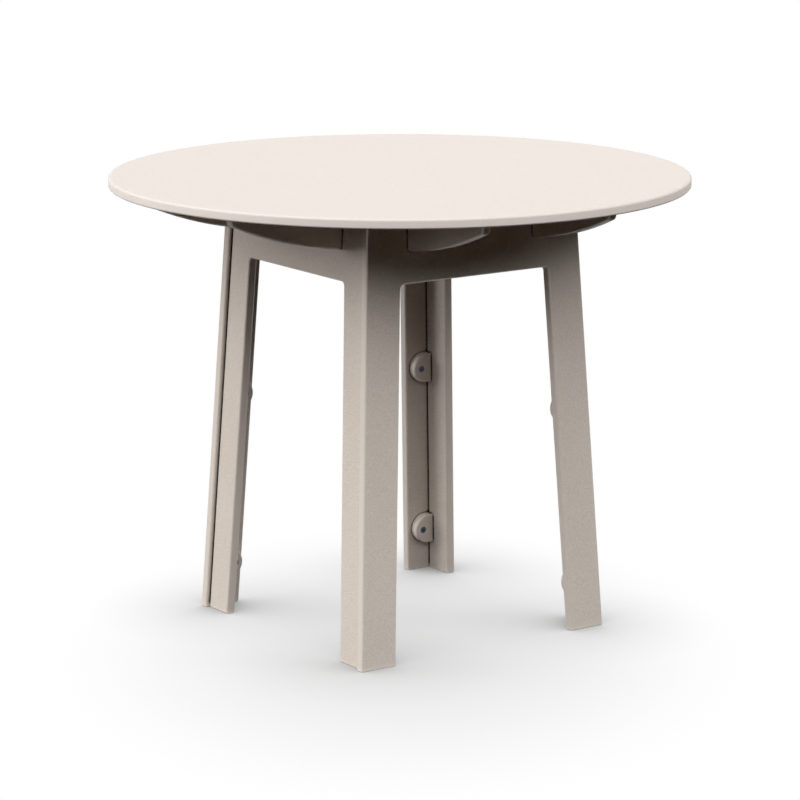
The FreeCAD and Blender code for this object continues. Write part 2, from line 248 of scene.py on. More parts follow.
class StageSettings(bpy.types.PropertyGroup):
    """Camera, floor and light."""
    lens: bpy.props.FloatProperty(
        name="Lens", description="Focal length of the camera", unit="CAMERA", min=1, default=152.74)
    distance: bpy.props.FloatProperty(
        name="Distance", description="Level distance from the camera to the table's middle",
        unit="LENGTH", default=5.580)
    height: bpy.props.FloatProperty(
        name="Height", description="Height of the camera", unit="LENGTH", default=1.5821)
    azimuth: bpy.props.FloatProperty(
        name="Azimuth", description="Angle of the camera round the table",
        subtype="ANGLE", default=math.radians(-34.897))
    pitch: bpy.props.FloatProperty(
        name="Pitch", description="Angle that the camera looks down by",
        subtype="ANGLE", default=math.radians(12.209))
    heading: bpy.props.FloatProperty(
        name="Heading", description="Angle that the camera is turned to the left of the table's middle",
        subtype="ANGLE", default=math.radians(-0.0025))
    floor_white: bpy.props.FloatProperty(
        name="Floor white", description="Share of the light that the floor shows to the camera",
        subtype="FACTOR", min=0, max=1, default=0.85)
    floor_bounce: bpy.props.FloatVectorProperty(
        name="Floor bounce", description="Colour that the floor gives back to the table",
        subtype="COLOR", size=3, min=0, max=1, default=(0.014, 0.009, 0.004))
    contact_reach: bpy.props.FloatProperty(
        name="Contact reach", description="Distance within which the floor's white lights a foot",
        unit="LENGTH", default=0.012)
    # Painted shadow on the floor: a dark tone beside the feet, within a reach, and a soft pool under the
    # whole table
    foot_painted_shadow: bpy.props.FloatProperty(
        name="Floor shade", description="How dark the floor gets beside a foot",
        subtype="FACTOR", min=0, max=1, default=0.95)
    foot_shadow_reach: bpy.props.FloatProperty(
        name="Shade reach", description="Distance within which a foot shades the floor",
        unit="LENGTH", default=0.22)
    table_painted_shadow: bpy.props.FloatProperty(
        name="Pool shade", description="How dark the soft shade under the whole table is",
        subtype="FACTOR", min=0, max=1, default=0.25)
    cast_share: bpy.props.FloatProperty(
        name="Cast share", description="Share of the shadows that the lights cast",
        subtype="FACTOR", min=0, max=1, default=0.3)
    # The ellipse at which the painted shadow and the cast shadows fade out to white
    shadow_width: bpy.props.FloatProperty(
        name="Shadow width", description="Distance across the view at which the shadow has faded out",
        unit="LENGTH", default=0.6)
    shadow_length: bpy.props.FloatProperty(
        name="Shadow length", description="Distance along the view at which the shadow has faded out",
        unit="LENGTH", default=0.85)
    shadow_shift: bpy.props.FloatProperty(
        name="Shadow shift", description="Distance of the shadow's middle towards the camera",
        unit="LENGTH", default=0.2)
    bright_side: bpy.props.FloatProperty(
        name="Bright side", description="Strength of the dome's bright side", min=0, default=2.05)
    dim_side: bpy.props.FloatProperty(
        name="Dim side", description="Strength of the dome's other side", min=0, default=0.47)
    bright_turn: bpy.props.FloatProperty(
        name="Bright turn", description="Angle from +X to the middle of the bright side",
        subtype="ANGLE", default=math.radians(212))
    dome_foot: bpy.props.FloatProperty(
        name="Dome foot", description="Lowest angle that the dome's light comes from",
        subtype="ANGLE", default=math.radians(23))
    low_window: bpy.props.FloatProperty(
        name="Low window", description="Strength of the low window", min=0, default=5.0)
    low_turn: bpy.props.FloatProperty(
        name="Low turn", description="Angle from +X to the low window",
        subtype="ANGLE", default=math.radians(138))
    low_rise: bpy.props.FloatProperty(
        name="Low rise", description="Angle of the low window above the floor",
        subtype="ANGLE", default=math.radians(9))
    low_width: bpy.props.FloatProperty(
        name="Low width", description="Angle from the low window's middle to its soft edge",
        subtype="ANGLE", default=math.radians(16.5))
    left_window: bpy.props.FloatProperty(
        name="Left window", description="Strength of the left window", min=0, default=2.0)
    left_turn: bpy.props.FloatProperty(
        name="Left turn", description="Angle from +X to the left window",
        subtype="ANGLE", default=math.radians(182))
    left_rise: bpy.props.FloatProperty(
        name="Left rise", description="Angle of the left window above the floor",
        subtype="ANGLE", default=math.radians(20))
    left_width: bpy.props.FloatProperty(
        name="Left width", description="Angle from the left window's middle to its soft edge",
        subtype="ANGLE", default=math.radians(12))
    high_window: bpy.props.FloatProperty(
        name="High window", description="Strength of the high window", min=0, default=4.2)
    high_turn: bpy.props.FloatProperty(
        name="High turn", description="Angle from +X to the high window",
        subtype="ANGLE", default=math.radians(315))
    high_rise: bpy.props.FloatProperty(
        name="High rise", description="Angle of the high window above the floor",
        subtype="ANGLE", default=math.radians(31))
    high_width: bpy.props.FloatProperty(
        name="High width", description="Angle from the high window's middle to its soft edge",
        subtype="ANGLE", default=math.radians(13))


# Node trees written as expressions
class Value:
    """An output of a node. Sums on it add Math nodes to its tree."""

    def __init__(self, tree, socket):
        self.tree = tree
        self.socket = socket

    def __add__(self, other):
        return self.tree.math("ADD", self, other)

    def __sub__(self, other):
        return self.tree.math("SUBTRACT", self, other)

    def __rsub__(self, other):
        return self.tree.math("SUBTRACT", other, self)

    def __mul__(self, other):
        return self.tree.math("MULTIPLY", self, other)

    def __truediv__(self, other):
        return self.tree.math("DIVIDE", self, other)

    def __rtruediv__(self, other):
        return self.tree.math("DIVIDE", other, self)

    def __neg__(self):
        return self.tree.math("SUBTRACT", 0, self)

    __radd__ = __add__
    __rmul__ = __mul__


class Tree:
    """A node tree whose nodes are added by one call each."""

    def __init__(self, tree):
        self.tree = tree

    @staticmethod
    def socket(sockets, key):
        """The socket with that index, name or identifier."""
        if isinstance(key, int):
            return sockets[key]
        return next(s for s in sockets if s.enabled and key in (s.name, s.identifier))

    def add(self, kind, settings=None, sockets=None, output=0):
        """Adds a node: its settings first, then the values or links of its sockets."""
        node = self.tree.nodes.new(kind)
        for name, value in (settings or {}).items():
            setattr(node, name, value)
        for key, value in (sockets or {}).items():
            into = self.socket(node.inputs, key)
            for one in value if isinstance(value, list) else [value]:
                if isinstance(one, Value):
                    self.tree.links.new(one.socket, into)
                else:
                    into.default_value = one
        return Value(self, self.socket(node.outputs, output)) if len(node.outputs) else None

    def math(self, operation, *values):
        return self.add("ShaderNodeMath", {"operation": operation}, dict(enumerate(values)))

    def blend(self, share, first, second):
        """Two shaders, with a share of the second."""
        return self.add("ShaderNodeMixShader", {}, {0: share, 1: first, 2: second}, "Shader")


class Finish(Tree):
    """A material's node tree, with the nodes that several finishes use."""

    def __init__(self, name):
        self.material = bpy.data.materials.new(name)
        self.material.use_nodes = True
        super().__init__(self.material.node_tree)
        self.tree.nodes.clear()
        self.place = self.add("ShaderNodeTexCoord", output="Object")

    def noise(self, size, detail):
        """Noise from 0 to 1 whose patches are about a size wide."""
        sockets = {"Vector": self.place, "Scale": 1 / size, "Detail": detail}
        return self.add("ShaderNodeTexNoise", {}, sockets, "Fac")

    def mix(self, share, first, second):
        """Two colours, with a share of the second."""
        settings = {"data_type": "RGBA", "clamp_factor": True}
        sockets = {"Factor": share, "A": first, "B": second}
        return self.add("ShaderNodeMix", settings, sockets, "Result")

    def openness(self, reach, samples=OPENNESS_SAMPLES):
        """1 on an open face, less where other faces lie within a reach."""
        return self.add("ShaderNodeAmbientOcclusion", {"samples": samples}, {"Distance": reach}, "AO")

    def bump(self, depth, relief, strength=1.0):
        return self.add("ShaderNodeBump", {}, {"Strength": strength, "Distance": depth, "Height": relief})

    def surface(self, shader):
        self.add("ShaderNodeOutputMaterial", {}, {"Surface": shader})
        return self.material

    def principled(self, **sockets):
        named = {name.replace("_", " "): value for name, value in sockets.items()}
        return self.surface(self.add("ShaderNodeBsdfPrincipled", {}, named, "BSDF"))


class Shape(Tree):
    """A geometry tree with named inputs for its sizes."""

    def __init__(self, name):
        super().__init__(bpy.data.node_groups.new(name, "GeometryNodeTree"))
        self.tree.interface.new_socket("Geometry", in_out="OUTPUT", socket_type="NodeSocketGeometry")
        self.sizes = {}
        self.group_input = self.tree.nodes.new("NodeGroupInput")
        self.points = self.input("Points", "NodeSocketGeometry")

    def input(self, name, kind="NodeSocketFloat"):
        made = self.tree.interface.new_socket(name, in_out="INPUT", socket_type=kind)
        self.sizes[name] = made.identifier
        return Value(self, self.socket(self.group_input.outputs, made.identifier))

    def raised(self, geometry, height):
        move = self.add("ShaderNodeCombineXYZ", {}, {"Z": height})
        return self.add("GeometryNodeTransform", {}, {"Geometry": geometry, "Translation": move})

    def join(self, pieces):
        return self.add("GeometryNodeJoinGeometry", {}, {"Geometry": list(reversed(pieces))})

    def welded(self, pieces):
        sockets = {"Geometry": self.join(pieces), "Distance": WELD_DISTANCE}
        return self.add("GeometryNodeMergeByDistance", {}, sockets)

    def without(self, solid, cutter):
        settings = {"operation": "DIFFERENCE", "solver": "EXACT"}
        return self.add("GeometryNodeMeshBoolean", settings, {"Mesh 1": solid, "Mesh 2": cutter}, "Mesh")

    def turned(self, sides, profile, caps):
        """A turned piece: bands between (radius, height) points, and caps at its two ends if asked."""
        pieces = []
        for (upper, top), (lower, bottom) in zip(profile, profile[1:]):
            sockets = {"Vertices": sides, "Radius Top": upper, "Radius Bottom": lower,
                       "Depth": top - bottom}
            band = self.add("GeometryNodeMeshCone", {"fill_type": "NONE"}, sockets, "Mesh")
            pieces.append(self.raised(band, bottom))
        for (radius, height), capped in zip((profile[0], profile[-1]), caps):
            if not capped:
                continue
            sockets = {"Vertices": sides, "Radius": radius}
            disc = self.add("GeometryNodeMeshCircle", {"fill_type": "NGON"}, sockets, "Mesh")
            pieces.append(self.raised(disc, height))
        return self.welded(pieces)

    def coordinates(self):
        """The x, y and z of each point."""
        position = self.add("GeometryNodeInputPosition")
        return [self.add("ShaderNodeSeparateXYZ", {}, {0: position}, axis) for axis in "XYZ"]

    def narrowed(self, geometry, share):
        """Geometry whose points lie at a share of their distance from the z axis."""
        position = self.add("GeometryNodeInputPosition")
        scale = self.add("ShaderNodeCombineXYZ", {}, {"X": share, "Y": share, "Z": 1.0})
        moved = self.add("ShaderNodeVectorMath", {"operation": "MULTIPLY"}, {0: position, 1: scale})
        return self.add("GeometryNodeSetPosition", {}, {"Geometry": geometry, "Position": moved})

    def at_points(self, piece):
        """A copy of a piece at each point, turned as the point's attribute says."""
        settings = {"data_type": "QUATERNION"}
        turn = self.add("GeometryNodeInputNamedAttribute", settings, {"Name": TURN}, "Attribute")
        sockets = {"Points": self.points, "Instance": piece, "Rotation": turn}
        return self.add("GeometryNodeInstanceOnPoints", {}, sockets, "Instances")

    def finish(self, geometry, coat):
        """Ends the tree: real geometry with its material."""
        real = self.add("GeometryNodeRealizeInstances", {}, {"Geometry": geometry})
        coated = self.add("GeometryNodeSetMaterial", {}, {"Geometry": real, "Material": coat})
        self.add("NodeGroupOutput", {}, {"Geometry": coated})
        self.coat = coat
        return self

    def grown(self, points, sizes):
        """Plain mesh that the tree makes for a mesh of points."""
        grower = new_object("grower", points)
        modifier = grower.modifiers.new("grower", "NODES")
        modifier.node_group = self.tree
        for name, value in sizes.items():
            modifier[self.sizes[name]] = value
        mesh = plain_mesh(grower)
        bpy.data.objects.remove(grower)
        return mesh


def soft_step(tree, value, middle, spread):
    """0 below a value, 1 above it, with a soft change between."""
    return tree.add("ShaderNodeMapRange", {"interpolation_type": "SMOOTHSTEP"}, {
        "Value": value, "From Min": middle - spread, "From Max": middle + spread}, "Result")


def fade(tree, value, end):
    """0 at 0, and 1 from an end on."""
    return soft_step(tree, value, end / 2, end / 2)


def shade(colour, level):
    """A colour made lighter or darker by a factor, for a socket."""
    return (*Vector(colour) * level, 1)


def grey(level):
    return (level, level, level, 1)


def seen_directly(tree):
    """1 where the camera sees a thing, straight or in a reflection."""
    kinds = ("Is Camera Ray", "Is Glossy Ray", "Is Transmission Ray")
    rays = [tree.add("ShaderNodeLightPath", output=kind) for kind in kinds]
    return tree.math("MAXIMUM", tree.math("MAXIMUM", rays[0], rays[1]), rays[2])


# Meshes
def new_object(name, mesh):
    made = bpy.data.objects.new(name, mesh)
    bpy.context.scene.collection.objects.link(made)
    return made


def plain_mesh(piece):
    """What an object's modifiers make, as a plain mesh."""
    bpy.context.view_layer.update()
    graph = bpy.context.evaluated_depsgraph_get()
    return bpy.data.meshes.new_from_object(piece.evaluated_get(graph), depsgraph=graph)


def smoothed(piece):
    """Smooth shading that keeps flat faces flat and sharp corners sharp."""
    mesh = piece.data
    mesh.shade_smooth()
    mesh.set_sharp_from_angle(angle=SHARP_ANGLE)
    weighted = piece.modifiers.new("flat_faces", "WEIGHTED_NORMAL")
    weighted.keep_sharp = True
    piece.data = plain_mesh(piece)
    piece.modifiers.clear()
    return piece


def mark_cut_edges(mesh):
    """Marks the faces that aren't on the sheet's two broad sides, and those of the roundings between."""
    largest = max(mesh.polygons, key=lambda polygon: polygon.area)
    broad = largest.normal.copy()
    facing = [min(1.0, abs(polygon.normal.dot(broad))) for polygon in mesh.polygons]
    marks = {
        CUT_EDGE: [1 - share for share in facing],
        ROUNDING: [2 * share * math.sqrt(1 - share * share) for share in facing],
    }
    for name, values in marks.items():
        mesh.attributes.new(name, "FLOAT", "FACE").data.foreach_set("value", values)


def merged_shell(node):
    """A copy of a node's loose triangles, merged."""
    shell = bmesh.new()
    shell.from_mesh(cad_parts[node].data)
    bmesh.ops.remove_doubles(shell, verts=shell.verts, dist=MERGE_DISTANCE)
    return shell


def sheet_piece(node, coat, slot):
    """A finished copy of a sheet node: merged, smooth, with its cut edges marked."""
    shell = merged_shell(node)
    mesh = bpy.data.meshes.new(f"finished_{node}")
    shell.to_mesh(mesh)
    shell.free()
    mark_cut_edges(mesh)
    mesh.materials.clear()
    mesh.materials.append(coat)
    return hand_over(smoothed(new_object(f"finished_{node}", mesh)), slot, node)


def hand_over(piece, slot, *nodes):
    """Puts a finished piece in place of its nodes."""
    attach(piece, BODY)
    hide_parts(*nodes)
    return piece


# Places of screws and inserts
def islands(node):
    """The points of each separate solid in a node."""
    shell = merged_shell(node)
    left = set(shell.verts)
    found = []
    while left:
        group = [left.pop()]
        for vertex in group:
            for edge in vertex.link_edges:
                other = edge.other_vert(vertex)
                if other in left:
                    left.remove(other)
                    group.append(other)
        found.append(np.array([vertex.co for vertex in group]))
    shell.free()
    return found


def middle_of(points):
    return (points.min(axis=0) + points.max(axis=0)) / 2


def screw_axis(points):
    """(end of the head, direction out of the head, length) of a screw."""
    spread = points - points.mean(axis=0)
    axes = np.linalg.eigh(spread.T @ spread)[1]
    local = points @ axes
    middle = middle_of(local)
    along = local[:, 2] - middle[2]
    reach = np.hypot(local[:, 0] - middle[0], local[:, 1] - middle[1])
    half = along.max()
    outward = 1 if reach[along > 0].max() > reach[along < 0].max() else -1
    direction = axes[:, 2] * outward
    head = axes @ middle + direction * half
    return Vector(head), Vector(direction), 2 * half


def points_mesh(places, rng=None):
    """Points, each with the turn that brings +Z to its direction."""
    mesh = bpy.data.meshes.new("points")
    mesh.from_pydata([place for place, direction in places], [], [])
    turns = mesh.attributes.new(TURN, "QUATERNION", "POINT")
    for index, (place, direction) in enumerate(places):
        turn = direction.to_track_quat("Z", "X")
        if rng:
            turn = turn @ Quaternion((0, 0, 1), rng.uniform(0, math.tau))
        turns.data[index].value = turn
    return mesh


# Materials
def sheet_finish(settings, name, colour, variation, painted_light, polish):
    """Pebbled plastic sheet with a painted highlight on its cut edges and painted shade in its joints and
    corners, glossy on its roundings.
    """
    tree = Finish(name)
    cut = tree.add("ShaderNodeAttribute", {"attribute_name": CUT_EDGE}, output="Fac")
    rounding = tree.add("ShaderNodeAttribute", {"attribute_name": ROUNDING}, output="Fac")
    pebble = tree.noise(settings.pebble_size, detail=2)
    speckle = tree.noise(settings.pebble_size * SPECKLE_SHARE, detail=1)
    cloud = tree.noise(settings.cloud_size, detail=4)
    grain = (pebble - NOISE_MIDDLE) * PEBBLE_TONE + (speckle - NOISE_MIDDLE) * SPECKLE_TONE
    tone = NOISE_MIDDLE + grain * (1 - cut * EDGE_SHARE) + (cloud - NOISE_MIDDLE) * CLOUD_TONE
    face = tree.mix(tone, shade(colour, 1 - variation), shade(colour, 1 + variation))
    # Painted highlight: the cut edges are painted lighter than the faces
    before_painted_shade = tree.mix(cut * EDGE_SHARE, face, shade(colour, 1 + painted_light))
    # Painted shade: darker where other faces lie close, in joints and corners, but not near the floor
    joint = 1 - soft_step(tree, tree.openness(settings.crevice_shade_width), *PAINTED_SHADE_OPENNESS)
    height = tree.add("ShaderNodeSeparateXYZ", {}, {0: tree.place}, "Z")
    painted_shade = joint * soft_step(tree, height, *PAINTED_SHADE_HEIGHT)
    shown = tree.mix(painted_shade, before_painted_shade, shade(colour, 1 - settings.crevice_painted_shade))
    roughness = settings.roughness + (speckle - NOISE_MIDDLE) * ROUGHNESS_SPREAD - cut * EDGE_SMOOTHNESS
    relief = pebble * (1 - cut * EDGE_FLATNESS) + speckle * SPECKLE_RELIEF
    return tree.principled(
        Base_Color=shown, Roughness=roughness, Normal=tree.bump(settings.pebble_depth, relief),
        Specular_IOR_Level=SHEET_SPECULAR, Coat_Weight=rounding * (1 - painted_shade) * polish,
        Coat_Roughness=COAT_ROUGHNESS, Coat_IOR=COAT_IOR)


def top_finish(settings):
    return sheet_finish(settings, "pebbled_top", settings.top_darkened_colour, settings.top_variation,
                        settings.rim_painted_light, settings.rim_polish)


def frame_finish(settings):
    return sheet_finish(settings, "pebbled_frame", settings.frame_colour, settings.variation,
                        settings.edge_painted_light, settings.edge_polish)


def steel_finish(settings):
    """Turned steel with fine marks, and painted shade in its recesses."""
    tree = Finish("turned_steel")
    marks = tree.noise(STEEL_MARKS, detail=3)
    stain = tree.noise(STEEL_STAINS, detail=2)
    dark, light = [shade(settings.steel, tone) for tone in STEEL_TONES]
    before_painted_shade = tree.mix(stain, dark, light)
    recess = shade(settings.steel, STEEL_PAINTED_SHADE)
    # Painted shade: the colour goes nearly black where faces lie close, in the driver recess
    colour = tree.mix(tree.openness(settings.socket_width), recess, before_painted_shade)
    bump = tree.bump(STEEL_RELIEF, marks, STEEL_RELIEF_STRENGTH)
    roughness = STEEL_ROUGHNESS + (marks - NOISE_MIDDLE) * ROUGHNESS_SPREAD
    return tree.principled(Base_Color=colour, Metallic=1.0, Roughness=roughness, Normal=bump)


def brass_finish(settings):
    """Dull machined brass."""
    tree = Finish("machined_brass")
    marks = tree.noise(BRASS_MARKS, detail=3)
    dark, light = [shade(settings.brass, tone) for tone in BRASS_TONES]
    roughness = BRASS_ROUGHNESS + (marks - NOISE_MIDDLE) * ROUGHNESS_SPREAD
    return tree.principled(Base_Color=tree.mix(marks, dark, light), Metallic=1.0, Roughness=roughness)


def material(name, make, settings):
    """The material of that name, made the first time that it is asked for."""
    return bpy.data.materials.get(name) or make(settings)


def floor_finish(settings):
    """White floor with a painted shadow under the table and beside the feet, mixed with a share of the
    lights' cast shadows; it gives back only a little light and is clear from below.
    """
    tree = Finish("studio_floor")
    towards_camera = Vector((math.sin(settings.azimuth), -math.cos(settings.azimuth), 0))
    around = tree.add("ShaderNodeMapping", {"vector_type": "TEXTURE"}, {
        "Vector": tree.place, "Location": towards_camera * settings.shadow_shift,
        "Rotation": (0, 0, settings.azimuth), "Scale": (settings.shadow_width, settings.shadow_length, 1)})
    reach = tree.add("ShaderNodeVectorMath", {"operation": "LENGTH"}, {0: around}, "Value")
    far = fade(tree, reach, 1)
    # Painted shadow: a soft pool under the table, fading out at the ellipse
    painted_pool = tree.mix(far, grey(1 - settings.table_painted_shadow), grey(1))
    painted_foot_tone = grey(1 - settings.foot_painted_shadow)
    # Painted shadow: darker beside the feet, where the table is close
    painted_shadow_tone = tree.mix(tree.openness(settings.foot_shadow_reach, FLOOR_SAMPLES), painted_foot_tone, painted_pool)
    # The floor glows with its painted shadow, mixed near the table with a share of the lights' cast shadows
    glow = tree.add("ShaderNodeEmission", {}, {"Color": painted_shadow_tone, "Strength": 1.0}, "Emission")
    lit = tree.add("ShaderNodeBsdfDiffuse", {}, {"Color": grey(settings.floor_white)}, "BSDF")
    shown = tree.blend((1 - far) * settings.cast_share, glow, lit)
    beyond = fade(tree, tree.add("ShaderNodeLightPath", output="Ray Length"), settings.contact_reach)
    given = tree.mix(beyond, grey(settings.floor_white), shade(settings.floor_bounce, 1))
    bounce = tree.add("ShaderNodeBsdfDiffuse", {}, {"Color": given}, "BSDF")
    upper = tree.blend(seen_directly(tree), bounce, shown)
    below = tree.add("ShaderNodeNewGeometry", output="Backfacing")
    clear = tree.add("ShaderNodeBsdfTransparent", output="BSDF")
    return tree.surface(tree.blend(below, upper, clear))


def studio_world(settings):
    """Light of a soft dome that is dark near the floor, and of three windows, before a white background."""
    world = bpy.data.worlds.new("studio")
    world.use_nodes = True
    world.node_tree.nodes.clear()
    tree = Tree(world.node_tree)
    view = tree.add("ShaderNodeTexCoord", output="Generated")

    def towards(turn, rise):
        aim = (math.cos(turn) * math.cos(rise), math.sin(turn) * math.cos(rise), math.sin(rise))
        return tree.add("ShaderNodeVectorMath", {"operation": "DOT_PRODUCT"}, {0: view, 1: aim}, "Value")

    def glow(strength):
        return tree.add("ShaderNodeBackground", {}, {"Color": (1, 1, 1, 1), "Strength": strength})

    side = soft_step(tree, towards(settings.bright_turn, 0), 0, SIDE_SPREAD)
    dome = tree.blend(side, glow(settings.dim_side), glow(settings.bright_side))
    height = towards(0, math.pi / 2)
    above = soft_step(tree, height, math.sin(settings.dome_foot), FOOT_SPREAD)
    light = tree.blend(above, glow(0.0), dome)
    for turn, rise, width, strength in (
        (settings.left_turn, settings.left_rise, settings.left_width, settings.left_window),
        (settings.low_turn, settings.low_rise, settings.low_width, settings.low_window),
        (settings.high_turn, settings.high_rise, settings.high_width, settings.high_window),
    ):
        inside = soft_step(tree, towards(turn, rise), math.cos(width), WINDOW_SPREAD)
        light = tree.blend(inside, light, glow(strength))
    seen = seen_directly(tree)
    tree.add("ShaderNodeOutputWorld", {}, {"Surface": tree.blend(seen, light, glow(1.0))})
    return world


# Shapes that follow a rule
def disc_shape(coat):
    """Disc with rounded rims and blind holes in its underside, whose upper face lies at a height."""
    tree = Shape("rounded_disc")
    radius = tree.input("Radius")
    thickness = tree.input("Thickness")
    upper = tree.input("Upper rounding")
    lower = tree.input("Lower rounding")
    band = tree.input("Rim band")
    sides = tree.input("Sides", "NodeSocketInt")
    hole = tree.input("Hole diameter")
    hole_depth = tree.input("Hole depth")
    height = tree.input("Height")
    quarter = [math.pi / 2 * step / ROUND_STEPS for step in range(ROUND_STEPS + 1)]
    profile = [(radius - band, 0.0)]
    for angle in quarter:
        profile.append((radius - upper * (1 - math.sin(angle)), upper * (math.cos(angle) - 1)))
    for angle in quarter:
        profile.append((radius - lower * (1 - math.cos(angle)), lower * (1 - math.sin(angle)) - thickness))
    profile.append((radius - band, -thickness))
    disc = tree.raised(tree.turned(sides, profile, (True, True)), height)
    sockets = {"Vertices": DRILL_SIDES, "Radius": hole / 2, "Depth": hole_depth * 2}
    drill = tree.add("GeometryNodeMeshCylinder", {"fill_type": "NGON"}, sockets, "Mesh")
    holes = tree.add("GeometryNodeRealizeInstances", {}, {"Geometry": tree.at_points(drill)})
    return tree.finish(tree.without(disc, holes), coat)


def thread_shape(tree, sides, radius, depth, pitch, top, bottom):
    """A threaded bar: a fine cylinder whose radius follows a helix."""
    length = top - bottom
    rings = tree.math("CEIL", length / pitch * RINGS_PER_TURN)
    sockets = {"Vertices": sides, "Side Segments": rings, "Radius": radius, "Depth": length}
    bar = tree.add("GeometryNodeMeshCylinder", {"fill_type": "NONE"}, sockets, "Mesh")
    x, y, z = tree.coordinates()
    turn = tree.math("ARCTAN2", y, x) / math.tau
    phase = tree.math("FRACT", z / pitch - turn)
    groove = tree.math("ABSOLUTE", phase - 0.5) * 2
    threaded = tree.math("LESS_THAN", tree.math("ABSOLUTE", z), length / 2 - pitch)
    cut = tree.narrowed(bar, 1 - groove * threaded * depth / radius)
    return tree.raised(cut, (top + bottom) / 2)


def screw_shape(name, coat, head):
    """Screw along z with a six-sided driver recess, with the end of its head at z 0."""
    tree = Shape(name)
    shank = tree.input("Shank diameter") / 2
    pitch = tree.input("Thread pitch")
    depth = tree.input("Thread depth")
    length = tree.input("Length")
    socket_width = tree.input("Socket width")
    socket_depth = tree.input("Socket depth")
    profile = head(tree, shank)
    neck = profile[-1][1]
    tip = pitch - length
    pieces = [tree.turned(SCREW_SIDES, profile, (True, False))]
    pieces.append(thread_shape(tree, SCREW_SIDES, shank, depth, pitch, neck, tip))
    pieces.append(tree.turned(SCREW_SIDES, [(shank, tip), (shank - depth, -length)], (False, True)))
    sockets = {"Vertices": SOCKET_SIDES, "Radius": socket_width / math.sqrt(3), "Depth": socket_depth * 2}
    recess = tree.add("GeometryNodeMeshCylinder", {"fill_type": "NGON"}, sockets, "Mesh")
    return tree.finish(tree.at_points(tree.without(tree.welded(pieces), recess)), coat)


def flat_head(tree, shank):
    """Profile of a countersunk head."""
    radius = tree.input("Head diameter") / 2
    return [(radius, 0.0), (radius, -FLAT_HEAD_LAND), (shank, shank - radius - FLAT_HEAD_LAND)]


def button_head(tree, shank):
    """Profile of a domed head."""
    radius = tree.input("Head diameter") / 2
    height = tree.input("Head height")
    edge = tree.input("Edge height")
    flat = tree.input("Flat diameter") / 2
    profile = [(flat, 0.0)]
    for step in range(1, DOME_STEPS + 1):
        angle = math.pi / 2 * step / DOME_STEPS
        profile.append((flat + (radius - flat) * math.sin(angle), (edge - height) * (1 - math.cos(angle))))
    return profile + [(radius, -height), (shank, -height)]


def insert_shape(coat):
    """Knurled sleeve along z, with its mouth at z 0."""
    tree = Shape("threaded_insert")
    bore = tree.input("Bore diameter") / 2
    outer = tree.input("Outer diameter") / 2
    depth = tree.input("Knurl depth")
    length = tree.input("Length")
    ridges = tree.input("Knurl ridges", "NodeSocketInt")
    profile = [(bore, 0.0)]
    for step in range(INSERT_BANDS):
        radius = outer - depth if step % 2 else outer
        profile.append((radius, length * (-step / INSERT_BANDS)))
        profile.append((radius, length * (-(step + 1) / INSERT_BANDS)))
    profile += [(bore, -length), (bore, 0.0)]
    sleeve = tree.turned(ridges * FACES_PER_RIDGE, profile, (False, False))
    x, y = tree.coordinates()[:2]
    reach = tree.math("SQRT", x * x + y * y)
    outside = tree.math("GREATER_THAN", reach, outer - depth / 2)
    wave = 0.5 - tree.math("COSINE", tree.math("ARCTAN2", y, x) * ridges) * 0.5
    knurled = tree.narrowed(sleeve, 1 - outside * wave * depth / outer)
    return tree.finish(tree.at_points(knurled), coat)


def joined(name, meshes, coat):
    """One object of several plain meshes, with its faces turned outward."""
    shell = bmesh.new()
    for mesh in meshes:
        shell.from_mesh(mesh)
    bmesh.ops.recalc_face_normals(shell, faces=shell.faces)
    for face in shell.faces:
        face.material_index = 0
    made = bpy.data.meshes.new(name)
    shell.to_mesh(made)
    shell.free()
    made.materials.append(coat)
    return new_object(name, made)


def screw_set(node, shape, sizes, rng):
    """All the screws of a node, grown in groups of one length."""
    groups = {}
    for points in islands(node):
        head, direction, length = screw_axis(points)
        groups.setdefault(round(length, LENGTH_DIGITS), []).append((head, direction))
    meshes = []
    for length, places in sorted(groups.items()):
        places.sort(key=lambda place: tuple(place[0]))
        meshes.append(shape.grown(points_mesh(places, rng), {**sizes, "Length": length}))
    return hand_over(smoothed(joined(f"finished_{node}", meshes, shape.coat)), "screw_steel", node)


def insert_places(node, screws):
    """(mouth, direction, length) of each insert, in line with its screw."""
    axes = [screw_axis(points) for points in islands(screws)]
    for points in islands(node):
        middle = Vector(middle_of(points))
        head, direction, length = min(axes, key=lambda axis: (middle - axis[0]).cross(axis[1]).length)
        along = (points - np.array(head)) @ np.array(direction)
        yield head + direction * along.max(), direction, along.max() - along.min()


# Operators, one for each kind of piece and one for the stage
class GARDEN_TABLE_OT_top(bpy.types.Operator):
    """Make the round top, with its rounded rim"""
    bl_idname = "garden_table.top"
    bl_label = "Table top"

    def execute(self, context):
        table = context.scene.garden_table
        top = table.top
        places = []
        for mouth, direction, length in insert_places("top_inserts", "top_screws"):
            places.append((Vector((mouth.x, mouth.y, TOP_LOW.z)), direction))
        sizes = {
            "Radius": top.radius, "Thickness": top.thickness, "Upper rounding": top.upper_round,
            "Lower rounding": top.lower_round, "Rim band": top.rim_band, "Sides": top.sides,
            "Hole diameter": top.insert_hole, "Hole depth": top.insert_hole_depth, "Height": TOP_HIGH.z,
        }
        coat = material("pebbled_top", top_finish, table.sheet)
        piece = joined("finished_table_top", [disc_shape(coat).grown(points_mesh(places), sizes)], coat)
        mark_cut_edges(piece.data)
        hand_over(smoothed(piece), "top_sheet", "table_top")
        return {"FINISHED"}


class GARDEN_TABLE_OT_panels(bpy.types.Operator):
    """Finish the four portal panels of the base"""
    bl_idname = "garden_table.panels"
    bl_label = "Base panels"

    def execute(self, context):
        coat = material("pebbled_frame", frame_finish, context.scene.garden_table.sheet)
        for side in SIDES:
            sheet_piece(f"{side}_panel", coat, "frame_sheet")
        return {"FINISHED"}


